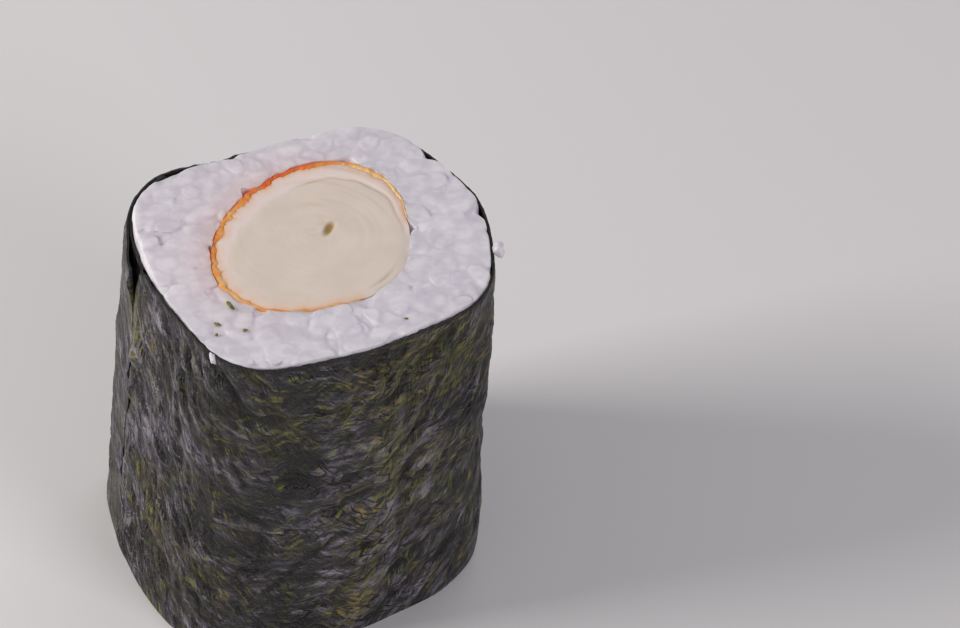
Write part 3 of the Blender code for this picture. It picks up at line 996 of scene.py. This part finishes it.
def nori():
    span = tau + NORI_LAP
    rows = NORI_ROWS + 2 * NORI_EDGE_ROWS + NORI_INNER_ROWS
    columns = [shred_lines(crossing) for crossing in CROSSINGS]
    steps = fold_steps()
    mesh = bmesh.new()
    bmesh.ops.create_grid(mesh, x_segments=NORI_COLUMNS, y_segments=rows, size=0.5)
    sheet_layer = mesh.verts.layers.float_vector.new("sheet")
    crack_shade_layer = mesh.verts.layers.float.new("crack_shade")
    green_layer = mesh.verts.layers.float.new("green")
    light_and_shade_layer = mesh.verts.layers.float.new("light_and_shade")
    shred_layers = [
        mesh.verts.layers.float_vector.new(f"shreds_{number}") for number in range(3)
    ]
    for vertex in mesh.verts:
        column = round((vertex.co.x + 0.5) * NORI_COLUMNS)
        up, inwards = nori_section(round((vertex.co.y + 0.5) * rows))
        turned = span * column / NORI_COLUMNS
        reach = ragged_end(up * NORI_RIM) * smooth(tau, span, turned)
        angle = NORI_START + turned + reach
        sheet = Vector((turned * SHEET_RADIUS, up * NORI_RIM, 0.0))
        layers = [
            Vector((lines[column][0], sheet.y - lines[column][1], 0.0)) for lines in columns
        ]
        nick = 0.10 * MM * noise.noise(Vector((turned * 26.0, 5.0, 0.0)))
        height = up * (rim_height(angle) + nick)
        relief, crack_shade = wrinkles(sheet, layers)
        calm = smooth(NORI_LAP, NORI_LAP + radians(4), turned) * smooth(0.0, 1.2 * MM, height)
        calm *= 0.3 + 0.7 * smooth(0.0, 1.6 * MM, rim_height(angle) - height)
        calm *= 1.0 - PRESSED_SHARE * ridge(turned_away(angle, PRESSED_TURN), PRESSED_REACH)
        if turned > tau:
            relief = 0.5 * max(relief, 0.0)
        beside = off_folds(steps, angle, height)
        fold = ridge(beside, FOLD_WIDTH)
        out = nori_climb(turned, angle, height) + relief * calm - FOLD_DEPTH * fold
        out += NORI_GAP + NORI_THICKNESS * (1.0 - inwards)
        radius = roll_radius(angle, height) + out
        # Painted shadow: just below its rim the sheet goes dark, where the rice bulging over it
        # shades it.
        rim_shadow = 0.8 * smooth(0.45 * MM, 0.05 * MM, rim_height(angle) - height)
        vertex[sheet_layer] = sheet / MM
        # Painted shade in the cracks, in the folds' grooves and below the rim.
        vertex[crack_shade_layer] = max(crack_shade * calm, rim_shadow, fold)
        vertex[green_layer] = patched(GREEN_PLACES, angle, height)
        # Painted light and shade by the side of the roll, and a painted highlight beside each
        # fold.
        vertex[light_and_shade_layer] = patched(LIGHT_AND_SHADE_PLACES, angle, height) + 1.6 * ridge(beside, FOLD_HIGHLIGHT_REACH)
        for layer, place in zip(shred_layers, layers):
            vertex[layer] = place / MM
        vertex.co = on_circle(roll_axis(height), angle, radius)
    return finished("nori_sheet", closed(mesh), toasted_laver(), "nori", "nori")


nori()

# Crumbs. Flecks of nori that the knife dragged over the rice, a stray grain caught on the rim
# at the right, and a smear of rice on the nori at the front left corner.

FLECKS = (
    # place on the upper cut, length, width and turn, in mm and degrees
    (-6.25, -7.7, 1.15, 0.28, 118),
    (-7.1, -10.0, 0.42, 0.34, 20),
    (-7.1, -11.2, 0.34, 0.22, 80),
    (-4.9, -10.5, 0.36, 0.28, 40),
    (7.6, -8.2, 0.34, 0.18, 15),
)
FLECK_THICKNESS = 0.12 * MM
STRAYS = (
    # degrees round the roll, height, distance off the rice, then length, width, thickness
    (3.0, 31.3, 0.7, 1.25, 1.1, 1.0),
    (241.5, 31.15, 0.2, 1.0, 0.6, 0.42),
)


def pebble(mesh, placed, rough, seed):
    """An uneven lump, added to the mesh."""
    made = bmesh.ops.create_icosphere(mesh, subdivisions=3, radius=0.5)["verts"]
    for vertex in made:
        vertex.co *= 1.0 + rough * noise.noise(vertex.co * 2.6 + Vector((seed, 0.0, 0.0)))
        vertex.co = placed @ vertex.co


def nori_flecks():
    """Wet laver crumbs: thin green flakes with a soft gloss."""
    finish, tree, shader = new_finish("laver_crumbs")
    place = add_node(tree, "TexCoord").outputs["Object"]
    patches = add_node(
        tree, "TexNoise", {"Vector": place, "Scale": 1.0 / (0.5 * MM), "Detail": 3.0}
    )
    shade = add_node(
        tree, "ValToRGB", {"Fac": patches},
        stops=((0.35, colour("#3f5420")), (0.65, colour("#8b8f34"))),
    )
    tree.links.new(shade.outputs["Color"], shader.inputs["Base Color"])
    shader.inputs["Roughness"].default_value = 0.45
    shader.inputs["IOR"].default_value = 1.5
    mesh = bmesh.new()
    middle = roll_axis(ROLL_HEIGHT)
    for number, (across, back, length, width, turn) in enumerate(FLECKS):
        spot = middle + Vector((across, back, 0.02)) * MM
        scale = Vector((length * MM, width * MM, FLECK_THICKNESS))
        placed = Matrix.LocRotScale(spot, Euler((0.1, 0.05, radians(turn))), scale)
        pebble(mesh, placed, 0.9, 3.0 * number)
    return finished("nori_flecks", mesh, finish, "nori")


def stray_rice():
    mesh = bmesh.new()
    for number, (turn, height, off, length, width, thick) in enumerate(STRAYS):
        angle = radians(turn)
        height *= MM
        radius = roll_radius(angle, height) + off * MM
        spot = on_circle(roll_axis(height), angle, radius)
        scale = Vector((thick, width, length)) * MM
        placed = Matrix.LocRotScale(spot, Euler((0.35, 0.0, angle)), scale)
        pebble(mesh, placed, 0.5, 7.0 * number)
    return finished("stray_rice", mesh, steamed_rice("stray_steamed_rice"), "rice")


nori_flecks()
stray_rice()

# Floor, light and camera. A plain pale table, a large soft lamp from the front left, a weaker
# one from behind and a faint one from the right.

CAMERA_HEIGHT = radians(43)
CAMERA_ROLL = radians(3)
CAMERA_DISTANCE = 500 * MM  # along the view, to the upper cut
PIXELS_PER_MM = 12.6  # at that distance
IMAGE_SIZE = Vector((960, 628))
CUT_PIXEL = Vector((313, 246))
CUT_PLACE = roll_axis(ROLL_HEIGHT) + Vector((-0.146, -0.348, 0.0)) * MM  # seen at CUT_PIXEL
SENSOR = 36.0
LAMPS = (
    # name, place in mm, size in mm, watts, colour
    ("key", (-370, -60, 215), 170, 1.45, "#fffaf8"),
    ("back", (120, 320, 330), 300, 0.25, "#fbf8ff"),
    ("fill", (320, -290, 230), 200, 0.75, "#fbf6ff"),
)


def studio():
    floor_mesh = bmesh.new()
    bmesh.ops.create_grid(floor_mesh, x_segments=1, y_segments=1, size=1.5)
    floor = shown("floor", floor_mesh)
    finish, tree, shader = new_finish("pale_matt_table")
    shader.inputs["Base Color"].default_value = colour("#eae9e7")
    shader.inputs["Roughness"].default_value = 0.7
    floor.data.materials.append(finish)

    world = bpy.data.worlds.new("studio")
    world.use_nodes = True
    background = world.node_tree.nodes["Background"]
    background.inputs["Color"].default_value = colour("#eceaf0")
    background.inputs["Strength"].default_value = 0.25
    bpy.context.scene.world = world
    bpy.context.scene.view_settings.view_transform = "Standard"

    target = roll_axis(ROLL_HEIGHT)
    for name, place, size, power, shade in LAMPS:
        data = bpy.data.lights.new(name, "AREA")
        data.size = size * MM
        data.energy = power
        data.color = colour(shade)[:3]
        lamp = bpy.data.objects.new(name, data)
        lamp.location = Vector(place) * MM
        lamp.rotation_euler = (target - lamp.location).to_track_quat("-Z", "Y").to_euler()
        bpy.context.scene.collection.objects.link(lamp)


def camera():
    forward = Vector((0.0, cos(CAMERA_HEIGHT), -sin(CAMERA_HEIGHT)))
    level = Vector((1.0, 0.0, 0.0))
    upright = level.cross(forward)
    right = level * cos(CAMERA_ROLL) + upright * sin(CAMERA_ROLL)
    up = upright * cos(CAMERA_ROLL) - level * sin(CAMERA_ROLL)
    shift = (CUT_PIXEL - IMAGE_SIZE / 2) * (MM / PIXELS_PER_MM)
    place = CUT_PLACE - forward * CAMERA_DISTANCE - right * shift.x + up * shift.y
    data = bpy.data.cameras.new("camera")
    data.sensor_width = SENSOR
    data.lens = SENSOR * PIXELS_PER_MM * (CAMERA_DISTANCE / MM) / IMAGE_SIZE.x
    data.clip_start = 10 * MM
    made = bpy.data.objects.new("camera", data)
    turn = Matrix((right, up, -forward)).transposed()
    made.matrix_world = Matrix.Translation(place) @ turn.to_4x4()
    bpy.context.scene.collection.objects.link(made)
    bpy.context.scene.camera = made


studio()
camera()
